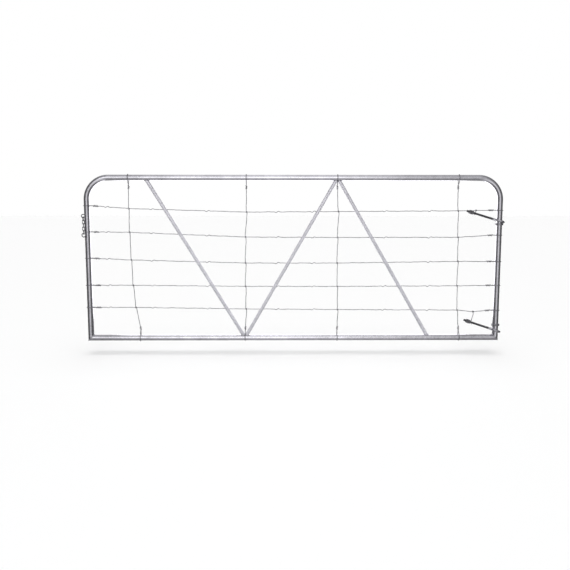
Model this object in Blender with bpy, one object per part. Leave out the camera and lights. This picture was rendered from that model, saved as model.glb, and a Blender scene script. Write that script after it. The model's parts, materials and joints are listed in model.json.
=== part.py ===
"""Field gate: a bent tube frame with braces and wire infill, a latch chain, and two eye-bolt hinges.

Metres, +Z up. X runs along the leaf from the latch stile to the hanging stile, and the front faces -Y.
The origin is below the middle of the leaf, level with the underside of the bottom rail.
"""

from math import acos, atan2, ceil, cos, pi, radians, sin, tau

import bmesh
import bpy
from mathutils import Matrix, Vector

# Leaf
LEAF_WIDTH = 3.0
LEAF_HEIGHT = 1.2
FRAME_RADIUS = 0.021
FRAME_WALL = 0.002
CORNER_RADIUS = 0.156  # of the tube's centre line, at the two top corners
BRACE_RADIUS = 0.0125
BRACE_WALL = 0.002
BRACE_TOPS = (-1.061, 0.312)
BRACE_FEET = (-0.355, 0.986)
MITRE_BLOCK = 0.16  # the side of the block that cuts a brace where it meets another
STILE_X = LEAF_WIDTH / 2 - FRAME_RADIUS
TOP_RAIL_Z = LEAF_HEIGHT - FRAME_RADIUS
BOTTOM_RAIL_Z = FRAME_RADIUS
MITRE_GAP = 0.00045  # upright, between the bent tube's ends and the bottom rail

# Wire infill
WIRE_RADIUS = 0.0025
GAP = 0.0003  # between pieces that touch
COIL_POINTS = 6  # for each turn of a wire round another
COIL_RADIUS = (2 * WIRE_RADIUS + GAP) / cos(pi / COIL_POINTS)
LOOP_STEP = radians(30)
LOOP_RADIUS = (FRAME_RADIUS + WIRE_RADIUS + GAP) / cos(LOOP_STEP / 2)
LINE_Y = BRACE_RADIUS + WIRE_RADIUS + GAP  # the line wires pass behind the braces
STAY_Y = LINE_Y + COIL_RADIUS  # the stay wires pass behind the line wires
CROSSING_SHIFT = 0.0065  # how far a stay wire moves along the line wire it turns round
LINE_MEETS = 0.045  # from the stile's axis to where a line wire's tail meets it
STAY_MEETS = 0.055
TAIL_PITCH = 0.010
LINE_TAIL_TURNS = 3.5
STAY_TAIL_TURNS = 2.5
# Heights of each line wire at the latch stile, at the four stay wires and at the hanging stile
LINE_HEIGHTS = (
    (0.980, 0.960, 0.935, 0.939, 0.9445, 0.9485),
    (0.7935, 0.790, 0.756, 0.7525, 0.754, 0.770),
    (0.604, 0.590, 0.5675, 0.567, 0.579, 0.579),
    (0.408, 0.4055, 0.397, 0.396, 0.400, 0.405),
    (0.2455, 0.2425, 0.2305, 0.2255, 0.2205, 0.222),
)
# Places along X of each stay wire at the top rail, at the five line wires and at the bottom rail
STAY_PLACES = (
    (-1.182, -1.185, -1.184, -1.176, -1.167, -1.151, -1.120),
    (-0.340, -0.339, -0.348, -0.349, -0.350, -0.347, -0.355),
    (0.312, 0.3225, 0.3175, 0.3155, 0.3185, 0.3225, 0.318),
    (1.181, 1.186, 1.190, 1.195, 1.1945, 1.201, 1.212),
)

# Hinges: each eye bolt turns round the hanging stile
ROD_RADIUS = 0.008
THREAD_RADIUS = 0.0078
EYE_RADIUS = 0.0315  # of the eye's centre line
BOLT_REACH = 0.2546  # from the middle of the eye to the tip
SMOOTH_REACH = 0.070  # from the middle of the eye to the first thread
TIP_CHAMFER = 0.0015
BOLT_TURN = radians(6)  # the bolts lie folded along the front of the leaf
UPPER_EYE_Z = 0.872
UPPER_TILT = radians(16.7)
LOWER_EYE_Z = 0.0727
LOWER_TILT = radians(18.8)
NUT_FLATS = 0.024
NUT_THICKNESS = 0.013
WASHER_RADIUS = 0.015
WASHER_THICKNESS = 0.003
BORE_RADIUS = ROD_RADIUS + GAP
NUT_FROM_TIP = 0.0172
WASHER_SPACE = 0.003  # between the two washers, which clamp the post in use
COLLAR_RADIUS = 0.029
COLLAR_HEIGHT = 0.012
UPPER_COLLAR_Z = 0.843  # undersides
LOWER_COLLAR_Z = 0.108

# Latch chain
STAPLE_TURN = radians(233)  # the way the staple stands out of the latch stile
STAPLE_RADIUS = 0.003
STAPLE_LEG = 0.022  # between the centre lines of its legs
STAPLE_LOW_Z = 0.897
STAPLE_BEND = 0.040  # from the stile's axis to where the legs start to bend
CHAIN_REACH = 0.036  # from the stile's axis to the chain
LINK_BAR = 0.0025
LINK_INSIDE = 0.0244
LINK_INSIDE_WIDTH = 0.0085
LINK_COUNT = 5
LINK_GAP = 0.0004
LINK_TURN = radians(90 - 53 / 6)  # each piece is turned from the one above, so that the ring faces front
RING_BAR = 0.0035
RING_INSIDE_RADIUS = 0.00925

# Tie wires, which hold the bolts folded while the gate is carried
TIE_FROM_NUT = 0.009
TIE_HOOK_RADIUS = 0.0122
TIE_LIP = 0.005  # how far the hook's straight end reaches in front of the bolt's axis
TIE_SLANT = 0.02  # how much nearer the hanging stile a tie meets its line wire than its bolt
TIE_DIP = 0.012  # how far the lower tie pulls line wire 5 down
TIE_PITCH = 0.006
TIE_TURNS = 1.5

FRAME_SIDES = 16
CORNER_STEPS = 8
BAR_SIDES = 8
ROD_SIDES = 12
NUT_SIDES = 12  # a corner and the middle of a flat for each of the six
WASHER_SIDES = 16
EYE_SEGMENTS = 20
STAPLE_STEPS = 6
LINK_STEPS = 5
RING_SEGMENTS = 16

GALVANISED = (0.62, 0.63, 0.65)
DULL_GALVANISED = (0.45, 0.46, 0.48)
BRIGHT_WIRE = (0.68, 0.69, 0.71)
TUBE_ROUGHNESS = 0.35
WIRE_ROUGHNESS = 0.4
BOLT_ROUGHNESS = 0.45


def clear_scene():
    for obj in list(bpy.data.objects):
        bpy.data.objects.remove(obj)


def steel(name, colour, roughness):
    material = bpy.data.materials.new(name)
    material.use_nodes = True
    shader = material.node_tree.nodes["Principled BSDF"]
    shader.inputs["Base Color"].default_value = (*colour, 1)
    shader.inputs["Metallic"].default_value = 1.0
    shader.inputs["Roughness"].default_value = roughness
    return material


def add_object(name, data, colour, roughness, parent=None):
    obj = bpy.data.objects.new(name, data)
    obj.data.materials.append(steel(name, colour, roughness))
    obj.parent = parent
    bpy.context.scene.collection.objects.link(obj)
    return obj


def mesh_from(name, points, faces):
    """A mesh, shaded smooth except at its sharp edges, with its faces turned outwards."""
    mesh = bpy.data.meshes.new(name)
    mesh.from_pydata(points, [], faces)
    shape = bmesh.new()
    shape.from_mesh(mesh)
    bmesh.ops.recalc_face_normals(shape, faces=shape.faces)
    shape.to_mesh(mesh)
    shape.free()
    mesh.shade_smooth()
    mesh.set_sharp_from_angle(angle=radians(35))
    return mesh


def band(first, second, count):
    """The faces between two rings of count points, which start at these indices."""
    return [
        (first + i, first + (i + 1) % count, second + (i + 1) % count, second + i)
        for i in range(count)
    ]


def add_empty(name, location, rotation=(0, 0, 0)):
    empty = bpy.data.objects.new(name, None)
    empty.location = location
    empty.rotation_euler = rotation
    bpy.context.scene.collection.objects.link(empty)
    return empty


# ---------------------------------------------------------------- tubes


def hollow_tube(name, path, radius, wall, colour, trim=None):
    """A tube with open ends along a path in the XZ plane. trim moves a point of an end ring onto the cut."""
    across = Vector((0, 1, 0))
    points, starts = [], []
    for inside in (radius, radius - wall):
        for i, centre in enumerate(path):
            ahead = path[min(i + 1, len(path) - 1)] - path[max(i - 1, 0)]
            side = ahead.normalized().cross(across)
            starts.append(len(points))
            for k in range(FRAME_SIDES):
                turn = tau * (k + 0.5) / FRAME_SIDES
                point = centre + inside * (cos(turn) * side + sin(turn) * across)
                if trim and i in (0, len(path) - 1):
                    point = trim(point)
                points.append(point)
    count = len(path)
    faces = []
    for i in range(count - 1):
        faces += band(starts[i], starts[i + 1], FRAME_SIDES)
        faces += band(starts[count + i], starts[count + i + 1], FRAME_SIDES)
    faces += band(starts[0], starts[count], FRAME_SIDES)
    faces += band(starts[count - 1], starts[-1], FRAME_SIDES)
    return add_object(name, mesh_from(name, points, faces), colour, TUBE_ROUGHNESS)


def make_frame():
    """The bent tube, and the bottom rail mitred between its two ends."""

    def corner(side):
        centre = Vector((side * (STILE_X - CORNER_RADIUS), 0, TOP_RAIL_Z - CORNER_RADIUS))
        turns = [pi / 2 * i / CORNER_STEPS for i in range(CORNER_STEPS + 1)]
        return [centre + CORNER_RADIUS * Vector((side * cos(t), 0, sin(t))) for t in turns]

    path = [Vector((-STILE_X, 0, BOTTOM_RAIL_Z))]
    path += corner(-1)
    path += corner(1)[::-1]
    path += [Vector((STILE_X, 0, BOTTOM_RAIL_Z))]

    def to_stile_cut(point):
        return Vector((point.x, point.y, LEAF_WIDTH / 2 - abs(point.x) + MITRE_GAP))

    def to_rail_cut(point):
        end = LEAF_WIDTH / 2 - point.z
        return Vector((end if point.x > 0 else -end, point.y, point.z))

    hollow_tube("bent_frame_tube", path, FRAME_RADIUS, FRAME_WALL, GALVANISED, to_stile_cut)
    ends = [Vector((side * STILE_X, 0, BOTTOM_RAIL_Z)) for side in (-1, 1)]
    hollow_tube("bottom_rail", ends, FRAME_RADIUS, FRAME_WALL, GALVANISED, to_rail_cut)


def add_cutter(name, mesh, location, rotation=(0, 0, 0)):
    cutter = bpy.data.objects.new(name, mesh)
    cutter.location = location
    cutter.rotation_euler = rotation
    cutter.hide_render = True
    cutter.display_type = "WIRE"
    bpy.context.scene.collection.objects.link(cutter)
    return cutter


def cut(obj, cutter):
    modifier = obj.modifiers.new(cutter.name, "BOOLEAN")
    modifier.operation = "DIFFERENCE"
    modifier.solver = "EXACT"
    modifier.object = cutter


def rail_cutter(name, height):
    """A rod slightly wider than the rail, which copes the ends of the braces."""
    shape = bmesh.new()
    bmesh.ops.create_cone(
        shape,
        cap_ends=True,
        segments=32,
        radius1=FRAME_RADIUS + GAP,
        radius2=FRAME_RADIUS + GAP,
        depth=LEAF_WIDTH,
    )
    mesh = bpy.data.meshes.new(name)
    shape.to_mesh(mesh)
    shape.free()
    return add_cutter(name, mesh, (0, 0, height), (0, pi / 2, 0))


def mitre_cutter(name, node_x, side, height):
    """A block whose face is the upright plane in which two braces meet. side says where the block lies."""
    shape = bmesh.new()
    bmesh.ops.create_cube(shape, size=MITRE_BLOCK)
    mesh = bpy.data.meshes.new(name)
    shape.to_mesh(mesh)
    shape.free()
    return add_cutter(name, mesh, (node_x + side * (MITRE_BLOCK - GAP) / 2, 0, height))


def make_braces():
    rails = [rail_cutter("bottom_rail_cutter", BOTTOM_RAIL_Z), rail_cutter("top_rail_cutter", TOP_RAIL_Z)]
    left_top, shared_top = BRACE_TOPS
    shared_foot, right_foot = BRACE_FEET
    braces = {
        "brace_left": (left_top, shared_foot, (shared_foot, 1, BOTTOM_RAIL_Z)),
        "brace_middle": (shared_top, shared_foot, (shared_foot, -1, BOTTOM_RAIL_Z)),
        "brace_right": (shared_top, right_foot, (shared_top, -1, TOP_RAIL_Z)),
    }
    made = {}
    for name, (top_x, foot_x, mitre) in braces.items():
        path = [Vector((foot_x, 0, BOTTOM_RAIL_Z)), Vector((top_x, 0, TOP_RAIL_Z))]
        brace = hollow_tube(name, path, BRACE_RADIUS, BRACE_WALL, GALVANISED)
        for cutter in rails:
            cut(brace, cutter)
        cut(brace, mitre_cutter(name + "_mitre_cutter", *mitre))
        made[name] = brace
    top_mitre = mitre_cutter("brace_middle_top_mitre_cutter", shared_top, 1, TOP_RAIL_Z)
    cut(made["brace_middle"], top_mitre)


# ---------------------------------------------------------------- wires


def add_wire(name, points, radius, colour):
    """A round bar of one piece through these points, with closed ends."""
    curve = bpy.data.curves.new(name, "CURVE")
    curve.dimensions = "3D"
    curve.bevel_depth = radius
    curve.bevel_resolution = 1
    curve.use_fill_caps = True
    spline = curve.splines.new("POLY")
    spline.points.add(len(points) - 1)
    for place, point in zip(spline.points, points):
        place.co = (*point, 1)
    return add_object(name, curve, colour, WIRE_ROUGHNESS)


def coil(start, direction, outwards, pitch, turns):
    """A coil of COIL_RADIUS round the line from start, that begins on the outwards side."""
    direction = direction.normalized()
    first = (outwards - outwards.dot(direction) * direction).normalized()
    second = direction.cross(first)
    count = round(turns * COIL_POINTS)
    points = []
    for i in range(count + 1):
        turn = tau * i / COIL_POINTS
        aside = COIL_RADIUS * (cos(turn) * first + sin(turn) * second)
        points.append(start + direction * pitch * i / COIL_POINTS + aside)
    return points


def end_loop(axis_point, inwards, meets, meet_y, towards, turns):
    """A wire's end: round the tube whose axis passes through axis_point, then back round the wire itself.

    inwards points from the tube into the leaf, meets says how far along it the tail joins the wire, and
    towards is the wire's next point. The first point returned is the one where they meet.
    """
    back = Vector((0, 1, 0))
    start = axis_point + inwards * meets + back * meet_y
    wire_turn = atan2(meet_y, meets)
    wire_reach = (meets**2 + meet_y**2) ** 0.5
    tail_y = meet_y - COIL_RADIUS
    tail_turn = atan2(tail_y, meets)
    tail_reach = (meets**2 + tail_y**2) ** 0.5
    leave = wire_turn + acos(LOOP_RADIUS / wire_reach)
    arrive = tau + tail_turn - acos(LOOP_RADIUS / tail_reach)
    steps = ceil((arrive - leave) / LOOP_STEP)
    points = [start]
    for i in range(steps + 1):
        turn = leave + (arrive - leave) * i / steps
        points.append(axis_point + LOOP_RADIUS * (cos(turn) * inwards + sin(turn) * back))
    return points + coil(start, towards - start, -back, TAIL_PITCH, turns)


def make_line_wire(number, heights):
    """A wire from stile to stile, behind the braces."""
    crossings = [
        Vector((places[number], LINE_Y, height)) for places, height in zip(STAY_PLACES, heights[1:-1])
    ]
    left_axis = Vector((-STILE_X, 0, heights[0]))
    right_axis = Vector((STILE_X, 0, heights[-1]))
    before_right = crossings[-1]
    if number == len(LINE_HEIGHTS):
        tie = tie_on_line_wire(number, lower_bolt_point(tie_reach()).x + TIE_SLANT)
        crossings.append(tie)
        before_right = tie
    left = end_loop(left_axis, Vector((1, 0, 0)), LINE_MEETS, 0, crossings[0], LINE_TAIL_TURNS)
    right = end_loop(right_axis, Vector((-1, 0, 0)), LINE_MEETS, 0, before_right, LINE_TAIL_TURNS)
    add_wire(f"line_wire_{number}", left[::-1] + crossings + right, WIRE_RADIUS, BRIGHT_WIRE)


def turn_round_line_wire(x, height):
    """One turn of a stay wire round a line wire: it comes from above and goes on downwards, behind the line wire."""
    points = []
    for i in range(COIL_POINTS + 1):
        turn = tau * i / COIL_POINTS
        shift = CROSSING_SHIFT * (i / COIL_POINTS - 0.5)
        points.append(
            Vector((x + shift, LINE_Y + COIL_RADIUS * cos(turn), height - COIL_RADIUS * sin(turn)))
        )
    return points


def make_stay_wire(number, places):
    """A wire from rail to rail, with one turn round each line wire."""
    middle = []
    for x, heights in zip(places[1:-1], LINE_HEIGHTS):
        middle += turn_round_line_wire(x, heights[number])
    top_axis = Vector((places[0], 0, TOP_RAIL_Z))
    bottom_axis = Vector((places[-1], 0, BOTTOM_RAIL_Z))
    top = end_loop(top_axis, Vector((0, 0, -1)), STAY_MEETS, STAY_Y, middle[0], STAY_TAIL_TURNS)
    bottom = end_loop(bottom_axis, Vector((0, 0, 1)), STAY_MEETS, STAY_Y, middle[-1], STAY_TAIL_TURNS)
    add_wire(f"stay_wire_{number}", top[::-1] + middle + bottom, WIRE_RADIUS, BRIGHT_WIRE)


# ---------------------------------------------------------------- hinges


def closed_bar(path, radius):
    """The points and faces of a bar bent into a closed ring along a path in the XZ plane."""
    across = Vector((0, 1, 0))
    points, faces = [], []
    for i, centre in enumerate(path):
        ahead = (path[(i + 1) % len(path)] - path[i - 1]).normalized()
        side = ahead.cross(across)
        for k in range(BAR_SIDES):
            turn = tau * k / BAR_SIDES
            points.append(centre + radius * (cos(turn) * side + sin(turn) * across))
        faces += band(i * BAR_SIDES, (i + 1) % len(path) * BAR_SIDES, BAR_SIDES)
    return points, faces


def circle(radius, count):
    turns = [tau * i / count for i in range(count)]
    return [Vector((radius * cos(t), 0, radius * sin(t))) for t in turns]


def shank_mesh(name):
    """The straight part of an eye bolt, along -X, with a smooth stretch and a slightly thinner threaded one."""
    profile = (
        (EYE_RADIUS, ROD_RADIUS - TIP_CHAMFER),  # narrower, so that it sinks into the eye's bar
        (SMOOTH_REACH, ROD_RADIUS),
        (SMOOTH_REACH + TIP_CHAMFER, THREAD_RADIUS),
        (BOLT_REACH - TIP_CHAMFER, THREAD_RADIUS),
        (BOLT_REACH, THREAD_RADIUS - TIP_CHAMFER),
    )
    points, faces = [], []
    for reach, radius in profile:
        for k in range(ROD_SIDES):
            turn = tau * k / ROD_SIDES
            points.append(Vector((-reach, radius * cos(turn), radius * sin(turn))))
    for i in range(len(profile) - 1):
        faces += band(i * ROD_SIDES, (i + 1) * ROD_SIDES, ROD_SIDES)
    faces.append(tuple(range(ROD_SIDES)))
    faces.append(tuple(range(len(points) - ROD_SIDES, len(points))))
    return mesh_from(name, points, faces)


def sleeve_mesh(name, low, high, inside, outside_at, sides):
    """A sleeve along X from low to high. outside_at gives its outer radius at an angle.

    The flats of the bore stand at the radius inside, so that it clears a round bar.
    """
    bore = inside / cos(pi / sides)
    points, starts = [], []
    for at, inner in ((low, True), (low, False), (high, False), (high, True)):
        starts.append(len(points))
        for k in range(sides):
            turn = tau * k / sides
            radius = bore if inner else outside_at(turn)
            points.append(Vector((at, radius * cos(turn), radius * sin(turn))))
    faces = []
    for i in range(4):
        faces += band(starts[i], starts[(i + 1) % 4], sides)
    return mesh_from(name, points, faces)


def hexagon(turn):
    """The radius of a nut's outline at this angle."""
    return NUT_FLATS / 2 / cos((turn + pi / 6) % (pi / 3) - pi / 6)


def make_eye_bolt(prefix, eye_z, tilt):
    """An eye bolt with its two nuts and two washers, on an empty in the middle of the eye."""
    place = add_empty(prefix + "_eye", (STILE_X, 0, eye_z), (0, tilt, BOLT_TURN))
    points, faces = closed_bar(circle(EYE_RADIUS, EYE_SEGMENTS), ROD_RADIUS)
    flat = Matrix.Rotation(pi / 2, 3, "X")
    name = prefix + "_eye_bolt"
    eye_mesh = mesh_from(name, [flat @ p for p in points], faces)
    eye = add_object(name, eye_mesh, DULL_GALVANISED, BOLT_ROUGHNESS, place)
    shank = add_cutter(prefix + "_shank", shank_mesh(prefix + "_shank"), (0, 0, 0))
    shank.parent = place
    join = eye.modifiers.new("shank", "BOOLEAN")
    join.operation = "UNION"
    join.solver = "EXACT"
    join.object = shank

    reach = BOLT_REACH - NUT_FROM_TIP
    pieces = (
        ("outer_nut", NUT_THICKNESS, 0),
        ("outer_washer", WASHER_THICKNESS, GAP),
        ("inner_washer", WASHER_THICKNESS, WASHER_SPACE),
        ("inner_nut", NUT_THICKNESS, GAP),
    )
    for piece, thickness, space in pieces:
        reach -= space
        nut = piece.endswith("nut")
        outside = hexagon if nut else (lambda turn: WASHER_RADIUS)
        full_name = f"{prefix}_{piece}"
        sides = NUT_SIDES if nut else WASHER_SIDES
        mesh = sleeve_mesh(full_name, -reach, thickness - reach, BORE_RADIUS, outside, sides)
        add_object(full_name, mesh, DULL_GALVANISED, BOLT_ROUGHNESS, place)
        reach -= thickness


def make_collar(name, underside):
    """A stop collar round the hanging stile."""
    mesh = sleeve_mesh(name, 0, COLLAR_HEIGHT, FRAME_RADIUS + GAP, lambda turn: COLLAR_RADIUS, FRAME_SIDES)
    collar = add_object(name, mesh, DULL_GALVANISED, BOLT_ROUGHNESS)
    collar.rotation_euler = (0, -pi / 2, 0)
    collar.location = (STILE_X, 0, underside)


# ---------------------------------------------------------------- latch chain


def make_chain():
    """The staple on the latch stile, the links that hang from it, and the ring at the end."""
    outwards = Vector((cos(STAPLE_TURN), sin(STAPLE_TURN), 0))
    axis = Vector((-STILE_X, 0, 0))
    bend = STAPLE_LEG / 2
    bend_centre = axis + outwards * STAPLE_BEND + Vector((0, 0, STAPLE_LOW_Z + bend))
    bent = [
        bend_centre + bend * Vector((0, 0, cos(t))) + outwards * bend * sin(t)
        for t in (pi * i / STAPLE_STEPS for i in range(STAPLE_STEPS + 1))
    ]
    foot = axis + outwards * (FRAME_RADIUS + GAP)
    top = foot + Vector((0, 0, STAPLE_LOW_Z + STAPLE_LEG))
    low = foot + Vector((0, 0, STAPLE_LOW_Z))
    add_wire("chain_staple", [top, *bent, low], STAPLE_RADIUS, DULL_GALVANISED)

    pivot = axis + outwards * CHAIN_REACH + Vector((0, 0, STAPLE_LOW_Z))
    turn, bar_above = STAPLE_TURN, STAPLE_RADIUS
    bend = LINK_INSIDE_WIDTH / 2 + LINK_BAR
    straight = LINK_INSIDE / 2 - LINK_INSIDE_WIDTH / 2
    for number in range(1, LINK_COUNT + 1):
        turn += LINK_TURN
        middle = bar_above + LINK_GAP - LINK_INSIDE / 2
        path = []
        for end in (1, -1):
            centre = Vector((0, 0, middle + end * straight))
            for i in range(LINK_STEPS + 1):
                t = pi * i / LINK_STEPS
                path.append(centre + end * bend * Vector((cos(t), 0, sin(t))))
        name = f"chain_link_{number}"
        points, faces = closed_bar(path, LINK_BAR)
        link = add_object(name, mesh_from(name, points, faces), DULL_GALVANISED, BOLT_ROUGHNESS)
        link.location = pivot
        link.rotation_euler = (0, 0, turn)
        pivot = pivot + Vector((0, 0, middle - LINK_INSIDE / 2 - LINK_BAR))
        bar_above = LINK_BAR

    turn += LINK_TURN
    drop = bar_above + LINK_GAP - RING_INSIDE_RADIUS
    path = [p + Vector((0, 0, drop)) for p in circle(RING_INSIDE_RADIUS + RING_BAR, RING_SEGMENTS)]
    points, faces = closed_bar(path, RING_BAR)
    ring = add_object("latch_ring", mesh_from("latch_ring", points, faces), DULL_GALVANISED, BOLT_ROUGHNESS)
    ring.location = pivot
    ring.rotation_euler = (0, 0, turn)


# ---------------------------------------------------------------- tie wires


def bolt_point(eye_z, tilt, reach):
    """The point on an eye bolt's axis at this reach from the middle of its eye."""
    direction = Vector((-cos(BOLT_TURN) * cos(tilt), -sin(BOLT_TURN) * cos(tilt), sin(tilt)))
    return Vector((STILE_X, 0, eye_z)) + reach * direction


def lower_bolt_point(reach):
    return bolt_point(LOWER_EYE_Z, LOWER_TILT, reach)


def tie_reach():
    """How far along a bolt its tie wire sits, just inside the inner nut."""
    nuts = 2 * NUT_THICKNESS + 2 * WASHER_THICKNESS + 2 * GAP + WASHER_SPACE
    return BOLT_REACH - NUT_FROM_TIP - nuts - TIE_FROM_NUT


def tie_on_line_wire(number, x):
    """The point of a line wire at x, between the last stay wire and the hanging stile."""
    stay_x = STAY_PLACES[-1][number]
    meet_x = STILE_X - LINE_MEETS
    share = (x - stay_x) / (meet_x - stay_x)
    stay_z, stile_z = LINE_HEIGHTS[number - 1][-2:]
    dip = TIE_DIP if number == len(LINE_HEIGHTS) else 0
    return Vector((x, LINE_Y * (1 - share), stay_z + (stile_z - stay_z) * share - dip))


def make_tie_wire(name, number, held):
    """A short wire that hooks under a bolt and turns round a line wire. It is open to the front."""
    front = Vector((0, -1, 0))
    on_wire = tie_on_line_wire(number, held.x + TIE_SLANT)
    stay = Vector((STAY_PLACES[-1][number], LINE_Y, LINE_HEIGHTS[number - 1][-2]))
    points = [held + Vector((0, -TIE_LIP, -TIE_HOOK_RADIUS))]
    for i in range(4):
        turn = radians(30 * i - 90)
        points.append(held + TIE_HOOK_RADIUS * Vector((0, cos(turn), sin(turn))))
    points += coil(on_wire, stay - on_wire, front, TIE_PITCH, TIE_TURNS)
    add_wire(name, points, WIRE_RADIUS, BRIGHT_WIRE)


def main():
    clear_scene()
    make_frame()
    make_braces()
    for number, heights in enumerate(LINE_HEIGHTS, 1):
        make_line_wire(number, heights)
    for number, places in enumerate(STAY_PLACES, 1):
        make_stay_wire(number, places)
    make_eye_bolt("upper", UPPER_EYE_Z, UPPER_TILT)
    make_eye_bolt("lower", LOWER_EYE_Z, LOWER_TILT)
    make_collar("upper_stop_collar", UPPER_COLLAR_Z)
    make_collar("lower_stop_collar", LOWER_COLLAR_Z)
    make_chain()
    make_tie_wire("upper_tie_wire", 1, bolt_point(UPPER_EYE_Z, UPPER_TILT, tie_reach()))
    make_tie_wire("lower_tie_wire", len(LINE_HEIGHTS), lower_bolt_point(tie_reach()))


main()
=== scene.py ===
"""Looks of the field gate: round tubes, twisted wires, threads, welds and galvanised steel.

Metres, +Z up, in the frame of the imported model. The front faces -Y.
"""

import json
from math import acos, atan2, ceil, cos, hypot, pi, radians, sin, sqrt, tan, tau

import bpy
from mathutils import Matrix, Vector


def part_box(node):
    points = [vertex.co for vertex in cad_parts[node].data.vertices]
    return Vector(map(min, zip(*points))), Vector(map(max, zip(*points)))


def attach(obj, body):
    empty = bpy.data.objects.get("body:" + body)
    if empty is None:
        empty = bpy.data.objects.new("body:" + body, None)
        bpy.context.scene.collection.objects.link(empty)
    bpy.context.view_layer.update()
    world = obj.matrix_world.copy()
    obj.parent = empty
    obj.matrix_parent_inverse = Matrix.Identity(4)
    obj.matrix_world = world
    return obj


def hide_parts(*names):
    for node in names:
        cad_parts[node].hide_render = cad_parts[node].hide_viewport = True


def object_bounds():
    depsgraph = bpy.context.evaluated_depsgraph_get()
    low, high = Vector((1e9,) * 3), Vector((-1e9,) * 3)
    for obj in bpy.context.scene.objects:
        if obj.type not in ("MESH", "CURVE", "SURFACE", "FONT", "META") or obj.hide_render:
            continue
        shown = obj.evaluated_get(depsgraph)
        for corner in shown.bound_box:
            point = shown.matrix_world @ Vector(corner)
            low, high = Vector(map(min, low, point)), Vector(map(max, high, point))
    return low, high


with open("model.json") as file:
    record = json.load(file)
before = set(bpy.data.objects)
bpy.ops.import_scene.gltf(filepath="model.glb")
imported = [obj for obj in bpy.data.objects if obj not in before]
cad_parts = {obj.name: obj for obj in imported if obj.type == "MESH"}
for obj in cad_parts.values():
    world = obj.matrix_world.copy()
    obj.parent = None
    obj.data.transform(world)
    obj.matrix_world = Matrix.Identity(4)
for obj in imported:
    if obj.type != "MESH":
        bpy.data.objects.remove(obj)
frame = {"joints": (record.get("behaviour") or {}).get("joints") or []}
cad_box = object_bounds()

# Leaf
FRAME_RADIUS = 0.021
BRACE_RADIUS = 0.0125
LEAF_WIDTH = 3.0
LEAF_HEIGHT = 1.2
CORNER_RADIUS = 0.156  # of the tube's centre line
STILE_X = LEAF_WIDTH / 2 - FRAME_RADIUS
TOP_RAIL_Z = LEAF_HEIGHT - FRAME_RADIUS
BOTTOM_RAIL_Z = FRAME_RADIUS
BRACE_TOPS = (-1.061, 0.312)
BRACE_FEET = (-0.355, 0.986)
BEND_FLATTENING = 0.035  # how much flatter the tube is halfway round a bend
TUBE_SIDES = 48
BRACE_SIDES = 36
BEND_STEPS = 32
STILE_STEPS = 40
RAIL_STEPS = 90
TUBE_STEP = 0.03
BRACE_STEP = 0.02
COPE_INSET = 0.0004  # how far the end of a brace's wall dips into the rail

# Wires, along the same routes as their solids
WIRE_RADIUS = 0.0025
GAP = 0.0003
COIL_RADIUS = 2 * WIRE_RADIUS + GAP
LOOP_RADIUS = FRAME_RADIUS + WIRE_RADIUS + GAP
LINE_Y = BRACE_RADIUS + WIRE_RADIUS + GAP
STAY_Y = LINE_Y + COIL_RADIUS
CROSSING_SHIFT = 0.0065
LINE_MEETS = 0.045
STAY_MEETS = 0.055
TAIL_PITCH = 0.010
LINE_TAIL_TURNS = 3.5
STAY_TAIL_TURNS = 2.5
LINE_HEIGHTS = (
    (0.980, 0.960, 0.935, 0.939, 0.9445, 0.9485),
    (0.7935, 0.790, 0.756, 0.7525, 0.754, 0.770),
    (0.604, 0.590, 0.5675, 0.567, 0.579, 0.579),
    (0.408, 0.4055, 0.397, 0.396, 0.400, 0.405),
    (0.2455, 0.2425, 0.2305, 0.2255, 0.2205, 0.222),
)
STAY_PLACES = (
    (-1.182, -1.185, -1.184, -1.176, -1.167, -1.151, -1.120),
    (-0.340, -0.339, -0.348, -0.349, -0.350, -0.347, -0.355),
    (0.312, 0.3225, 0.3175, 0.3155, 0.3185, 0.3225, 0.318),
    (1.181, 1.186, 1.190, 1.195, 1.1945, 1.201, 1.212),
)
WIRE_SIDES = 10
WIRE_STEP = 0.004
COIL_STEPS = 14  # for each turn
WANDER = 0.0015  # how far a stretch of wire strays from straight, up and down
WANDER_DEEP = 0.25  # how far it strays forwards and back, for that
CALM = 12  # how soon a stretch begins to stray from its fixed ends
CRIMP_DEPTH = 0.0042  # of the small kinks that keep the line wires tight
CRIMP_PEAK = 1.3  # brings the tops of a kink's two half waves to its depth
CRIMP_HALF = 0.022
CRIMPS_X = (-1.34, -1.02, -0.62, -0.12, 0.14, 0.66, 0.985)

# Hinges
ROD_RADIUS = 0.008
EYE_RADIUS = 0.0315
BOLT_REACH = 0.2546
SMOOTH_REACH = 0.070
NECK_REACH = 0.056  # from the middle of the eye to where its welded neck starts to flare
NECK_FLARE = 0.85
NECK_FADE = 2.2
NECK_OVERLAP = 0.002  # of the neck and the rod
NECK_STEPS = 16
EYE_STEPS = 72
ROD_SIDES = 24
TIP_CHAMFER = 0.0015
THREAD_PITCH = 0.002
THREAD_DEPTH = 0.0010
THREAD_APPROACH = 0.006  # from the last smooth ring of points to the first thread
ROOT_SHAPE = 1.2  # above 1, so that the crests are broader than the roots
THREAD_ROWS = 6  # for each turn of the thread
THREAD_RUN_OUT = 1.5  # turns over which the thread deepens
CREST_DROP = 0.0001  # how far the crests lie below the smooth rod
BOLT_TURN = radians(6)
EYES = {"upper": (0.872, radians(16.7)), "lower": (0.0727, radians(18.8))}
NUT_FLATS = 0.024
NUT_THICKNESS = 0.013
NUT_SIDES = 72
NUT_CORNER = 0.0022  # how far the chamfers of the corners reach along the nut
NUT_MOUTH = 0.0009
NUT_FACE = 0.985  # diameter of the flat end, for the width across the flats
NUT_SLOPE = tan(radians(60))
NUT_TURNS = {"outer_nut": radians(11), "inner_nut": radians(-17)}
WASHER_RADIUS = 0.015
WASHER_THICKNESS = 0.003
BORE_RADIUS = ROD_RADIUS + GAP
NUT_FROM_TIP = 0.0172
WASHER_SPACE = 0.003
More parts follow.
